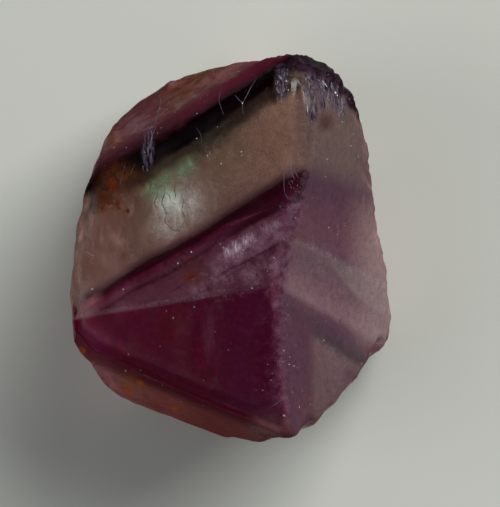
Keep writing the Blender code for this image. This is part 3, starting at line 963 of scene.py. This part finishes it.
mark_places(stone.data)
splinter = splinter_material()
flakes = scatter_tree("scattered_flakes", flake_shape)
for kind in (CORNER_FLAKES, BRUISE_FLAKES, RIDGE_FLAKES):
    scattered(flakes, splinter, kind)
dust = fine_material("dust", DUST_COLOURS, (0.55, 0.8), 0.8, 4)
scattered(scatter_tree("scattered_dust", dust_shape), dust, DUST)

# The scratches, the lint, the cracks, the crumbs and the painted glints.
# Fine pale scratches, a few fibres of lint and dark hair cracks, each a thin thread that is laid
# down on the stone along its path, pale crumbs of dirt that stick to the surface, and bright
# white lumps of the same kind that are painted glints of light.
THREAD_SIDES = 5
THREAD_STEP = 0.15
ABOVE = 100 * MM
# Each path is across and up the leaning sheet, in mm, with the thread's radius.
THREADS = (
    (0.025, ((-9.5, 15.2), (-9.2, 14.5), (-9.4, 13), (-9.7, 12))),
    (0.040, ((-10.6, 12), (-10.2, 11.6), (-9.8, 10.9), (-9.9, 9.6))),
    (0.030, ((-9.3, 12.2), (-9.6, 11.2), (-9.9, 10.2), (-10.1, 8.8))),
    (0.025, ((-0.5, 16.7), (0.1, 16.2), (-0.3, 15.4), (-0.8, 14.4), (-1.2, 13.5), (-1, 12.3),
             (-0.8, 11.1))),
    (0.035, ((-1.9, 14.5), (-1.5, 14), (-1.2, 13.8))),
    (0.018, ((-3.2, 15.4), (-3.4, 14), (-2.9, 12.5))),
    (0.015, ((-5.6, 11.6), (-5.1, 10.6), (-5, 9.6))),
    (0.030, ((2.9, 8.2), (2.7, 6.7), (2.8, 5.2), (3.4, 4.5))),
    (0.035, ((3.2, 8.6), (3.3, 7.5), (3.7, 6.5))),
    (0.028, ((3.9, 7.9), (3.8, 7.2), (4.1, 6.6))),
    (0.025, ((8.3, -6.5), (8.1, -7.3))),
    (0.025, ((8.5, -6.4), (8, -7))),
    (0.045, ((1.5, -14.9), (2.1, -14.5), (2.6, -14.1))),
    (0.030, ((-16.1, -0.2), (-15.3, -0.7))),
    (0.025, ((-16, -0.6), (-15.4, -1.1))),
    (0.022, ((-15.8, -1.1), (-15.3, -1.5))),
    (0.035, ((-0.3, -17.2), (-0.2, -16.8), (0.5, -17))),
    (0.018, ((-12.2, 8.2), (-12.6, 7), (-12.8, 6))),
    (0.015, ((-11.4, 8), (-11.9, 6.8))),
    (0.025, ((5.5, 12.6), (5.9, 11.6), (6.2, 10.6))),
    (0.022, ((7.6, 14.4), (7.9, 13.7), (8.1, 12.9))),
)
CRACKS = (
    (0.036, ((-9.4, 5.9), (-9.2, 5.2), (-9.5, 4.4), (-9.3, 3.8), (-9.6, 3.3))),
    (0.028, ((-9.5, 4.4), (-9.9, 4), (-10.1, 3.5))),
    (0.040, ((-8.7, 6.4), (-8.5, 5.4), (-8.8, 4.4), (-8.4, 3.5), (-8.5, 2.6), (-8.2, 2.2))),
    (0.028, ((-8.5, 5.4), (-8.1, 5), (-8, 4.4))),
    (0.032, ((-7.4, 6.4), (-7.6, 5.7), (-7.5, 4.9), (-7.8, 4.6))),
    (0.036, ((-7, 5.3), (-6.8, 4.5), (-6.9, 3.6), (-6.6, 2.9), (-6.9, 2.2), (-7.4, 1.7))),
    (0.026, ((-6.8, 4.5), (-6.3, 4.1), (-6.1, 3.6))),
    (0.026, ((-8.5, 2.6), (-8, 2), (-7.4, 1.7), (-6.8, 1.8))),
    (0.028, ((-9.9, 6.8), (-9.8, 6.1), (-10.1, 5.6))),
    (0.030, ((-15.8, 0.9), (-15.6, 0.5), (-15.7, 0.3))),
)
# Crumbs, and the white lumps that are painted glints, lie across and up the sheet, in mm, each with its
# size.
CRUMBS_AND_GLINTS = (
    (8.26, 12.04, 0.14), (9.13, 9.81, 0.13), (9.42, 10.97, 0.10), (6.12, 1.75, 0.09), (7.87, 1.36, 0.09),
    (8.64, 2.43, 0.10), (9.71, 2.23, 0.08), (3.79, 2.91, 0.16), (2.72, -15.73, 0.26), (4.18, -14.95, 0.15),
    (5.25, -14.76, 0.13), (11.9, -9.2, 0.10), (11.2, -10.2, 0.10), (-6.02, -0.29, 0.17),
    (-7.28, -1.36, 0.14), (2.92, 15.73, 0.24), (7.58, 14.76, 0.34), (7.75, 14.5, 0.18), (-1.30, 9.13, 0.14),
    (-1.25, 8.8, 0.10), (-3.56, 11.5, 0.08), (-5.5, 10.4, 0.10), (-1.2, 13.7, 0.18), (2.3, 16, 0.14),
    (3.1, 14.9, 0.12), (3.2, -10.9, 0.12), (2.9, -6.6, 0.10), (8.2, 13, 0.12), (9, 14.3, 0.10),
)
THREAD_COLOURS = ((62, 48, 64), (112, 100, 116))
CRACK_COLOURS = ((26, 26, 18), (50, 50, 38))
CRUMB_GLINT_COLOURS = ((150, 140, 146), (236, 236, 238))
CRUMB_GLINT_SHAPE = (0.8, 1.2, 0.6)


def laid(tree, across, up):
    """Where a point of the leaning sheet falls on the stone, and the surface's way there."""
    towards = Vector(TOWARDS)
    start = Vector(ACROSS) * across * MM + Vector((0, up * MM, 0)) + towards * ABOVE
    return tree.ray_cast(start, -towards)[:2]


def along_path(path):
    """Points along a smooth curve through a path's points."""
    knots = np.array((path[0], *path, path[-1]))
    found = []
    for a, b, c, d in zip(knots, knots[1:], knots[2:], knots[3:]):
        for t in np.arange(0, 1, THREAD_STEP / max(np.linalg.norm(c - b), THREAD_STEP)):
            found.append(0.5 * (2 * b + (c - a) * t + (2 * a - 5 * b + 4 * c - d) * t**2
                                + (3 * b - a - 3 * c + d) * t**3))
    return [*found, knots[-1]]


def add_thread(shape, tree, radius, path):
    """A closed thread along a path, thin at both ends."""
    spots = [laid(tree, *place) for place in along_path(path)]
    spots = [(place, out) for place, out in spots if place is not None]
    rings = []
    for i, (place, out) in enumerate(spots):
        way = (spots[min(i + 1, len(spots) - 1)][0] - spots[max(i - 1, 0)][0]).normalized()
        side = way.cross(out).normalized()
        wide = radius * MM * math.sin(math.pi * (i + 0.7) / (len(spots) + 0.4))
        turns = [2 * math.pi * k / THREAD_SIDES for k in range(THREAD_SIDES)]
        rings.append([shape.verts.new(place + side * wide * math.cos(t) + out * wide * math.sin(t))
                      for t in turns])
    for a, b in zip(rings, rings[1:]):
        for k in range(THREAD_SIDES):
            shape.faces.new((a[k], a[k - 1], b[k - 1], b[k]))
    shape.faces.new(rings[0])
    shape.faces.new(rings[-1][::-1])


# lays one crumb; the brightest of them are painted glints of light
def add_crumb_glint(shape, tree, across, up, size):
    place, out = laid(tree, across, up)
    if place is None:
        raise ValueError(f"the crumb at {across}, {up} lies off the stone")
    turn = out.to_track_quat("Z", "Y").to_matrix().to_4x4() @ Matrix.Diagonal((*CRUMB_GLINT_SHAPE, 1))
    bmesh.ops.create_icosphere(shape, subdivisions=1, radius=0.5 * size * MM,
                               matrix=Matrix.Translation(place) @ turn)


def laid_piece(name, material, fill):
    """A mesh of small things that are laid on the stone by the fill function."""
    mesh = bpy.data.meshes.new(name)
    piece = new_piece(name, mesh)
    shape = bmesh.new()
    fill(shape)
    bmesh.ops.recalc_face_normals(shape, faces=shape.faces[:])
    shape.to_mesh(mesh)
    shape.free()
    mesh.materials.append(material)
    mesh.shade_smooth()
    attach(piece, "root")


surface = BVHTree.FromPolygons([v.co for v in stone.data.vertices],
                               [p.vertices for p in stone.data.polygons])
laid_piece("scratches_and_lint", fine_material("scratch_and_lint", THREAD_COLOURS, (0.4, 0.7), 1.5),
           lambda shape: [add_thread(shape, surface, *thread) for thread in THREADS])
laid_piece("fine_cracks", fine_material("crack", CRACK_COLOURS, (0.3, 0.5), 1.5),
           lambda shape: [add_thread(shape, surface, *crack) for crack in CRACKS])
# crumbs of dirt, and white lumps that are painted glints
laid_piece("crumbs", fine_material("crumb", CRUMB_GLINT_COLOURS, (0.15, 0.45), 1),
           lambda shape: [add_crumb_glint(shape, surface, *crumb) for crumb in CRUMBS_AND_GLINTS])

# The table, the light and the camera.
# A plain pale table, one large soft window at the right behind, a weaker one at the left, and a
# camera that looks down on the stone, leaning a little to the right.
TABLE_SIDE, TABLE_GAP = 3, 0.12 * MM
TABLE_COLOUR, TABLE_ROUGHNESS = (203, 205, 197), 0.8
# Each light's name, place, size, power and colour. Both face a point of the stone at half height.
LIGHTS = (
    ("window", (0.42, 0.36, 0.40), 0.45, 5.6, (1, 1, 0.99)),
    ("fill", (-0.45, -0.1, 0.45), 0.5, 1, (0.95, 0.97, 1)),
)
LIT_PLACE = (0, 0, 0.012)
ROOM_COLOUR, ROOM_STRENGTH = (0.75, 0.78, 0.82, 1), 0.11
DISTANCE = 0.40
SENSOR_MM = 36
AIM_HEIGHT = 0.0125
PX_PER_MM = 10.3
PICTURE_WIDTH_PX = 500
PICTURE_MIDDLE_PX = (250, 253.5)
# The pixel of the sheet's place that lies so far across, in mm, and 0 up.
SHEET_PX, SHEET_ACROSS = (232, 249), -2.23


def table():
    bpy.ops.mesh.primitive_plane_add(size=TABLE_SIDE, location=(0, 0, -TABLE_GAP))
    floor = bpy.context.object
    floor.name = "table"
    material, n = new_material("pale_table")
    n.finish(Surface=n.principled(TABLE_COLOUR, TABLE_ROUGHNESS))
    floor.data.materials.append(material)


def daylight():
    world = bpy.data.worlds.new("room")
    world.use_nodes = True
    room = world.node_tree.nodes["Background"].inputs
    room["Color"].default_value = ROOM_COLOUR
    room["Strength"].default_value = ROOM_STRENGTH
    bpy.context.scene.world = world
    for name, place, size, power, colour in LIGHTS:
        light = bpy.data.lights.new(name, "AREA")
        light.size = size
        light.energy = power
        light.color = colour
        lamp = new_piece(name, light)
        lamp.location = place
        lamp.rotation_euler = (Vector(LIT_PLACE) - Vector(place)).to_track_quat("-Z", "Y").to_euler()


def camera():
    right, up, back = Vector(ACROSS), Vector((0, 1, 0)), Vector(TOWARDS)
    across = (PICTURE_MIDDLE_PX[0] - SHEET_PX[0]) / PX_PER_MM + SHEET_ACROSS
    height = (SHEET_PX[1] - PICTURE_MIDDLE_PX[1]) / PX_PER_MM
    aim = right * across * MM + up * height * MM + back * AIM_HEIGHT
    data = bpy.data.cameras.new("camera")
    data.sensor_width = SENSOR_MM
    data.sensor_fit = "HORIZONTAL"
    data.lens = SENSOR_MM * DISTANCE / (PICTURE_WIDTH_PX / PX_PER_MM * MM)
    data.clip_start = 0.01
    eye = new_piece("camera", data)
    turn = Matrix((right, up, back)).transposed().to_4x4()
    eye.matrix_world = Matrix.Translation(aim + back * DISTANCE) @ turn
    bpy.context.scene.camera = eye


table()
daylight()
camera()
bpy.context.scene.view_settings.view_transform = "Standard"
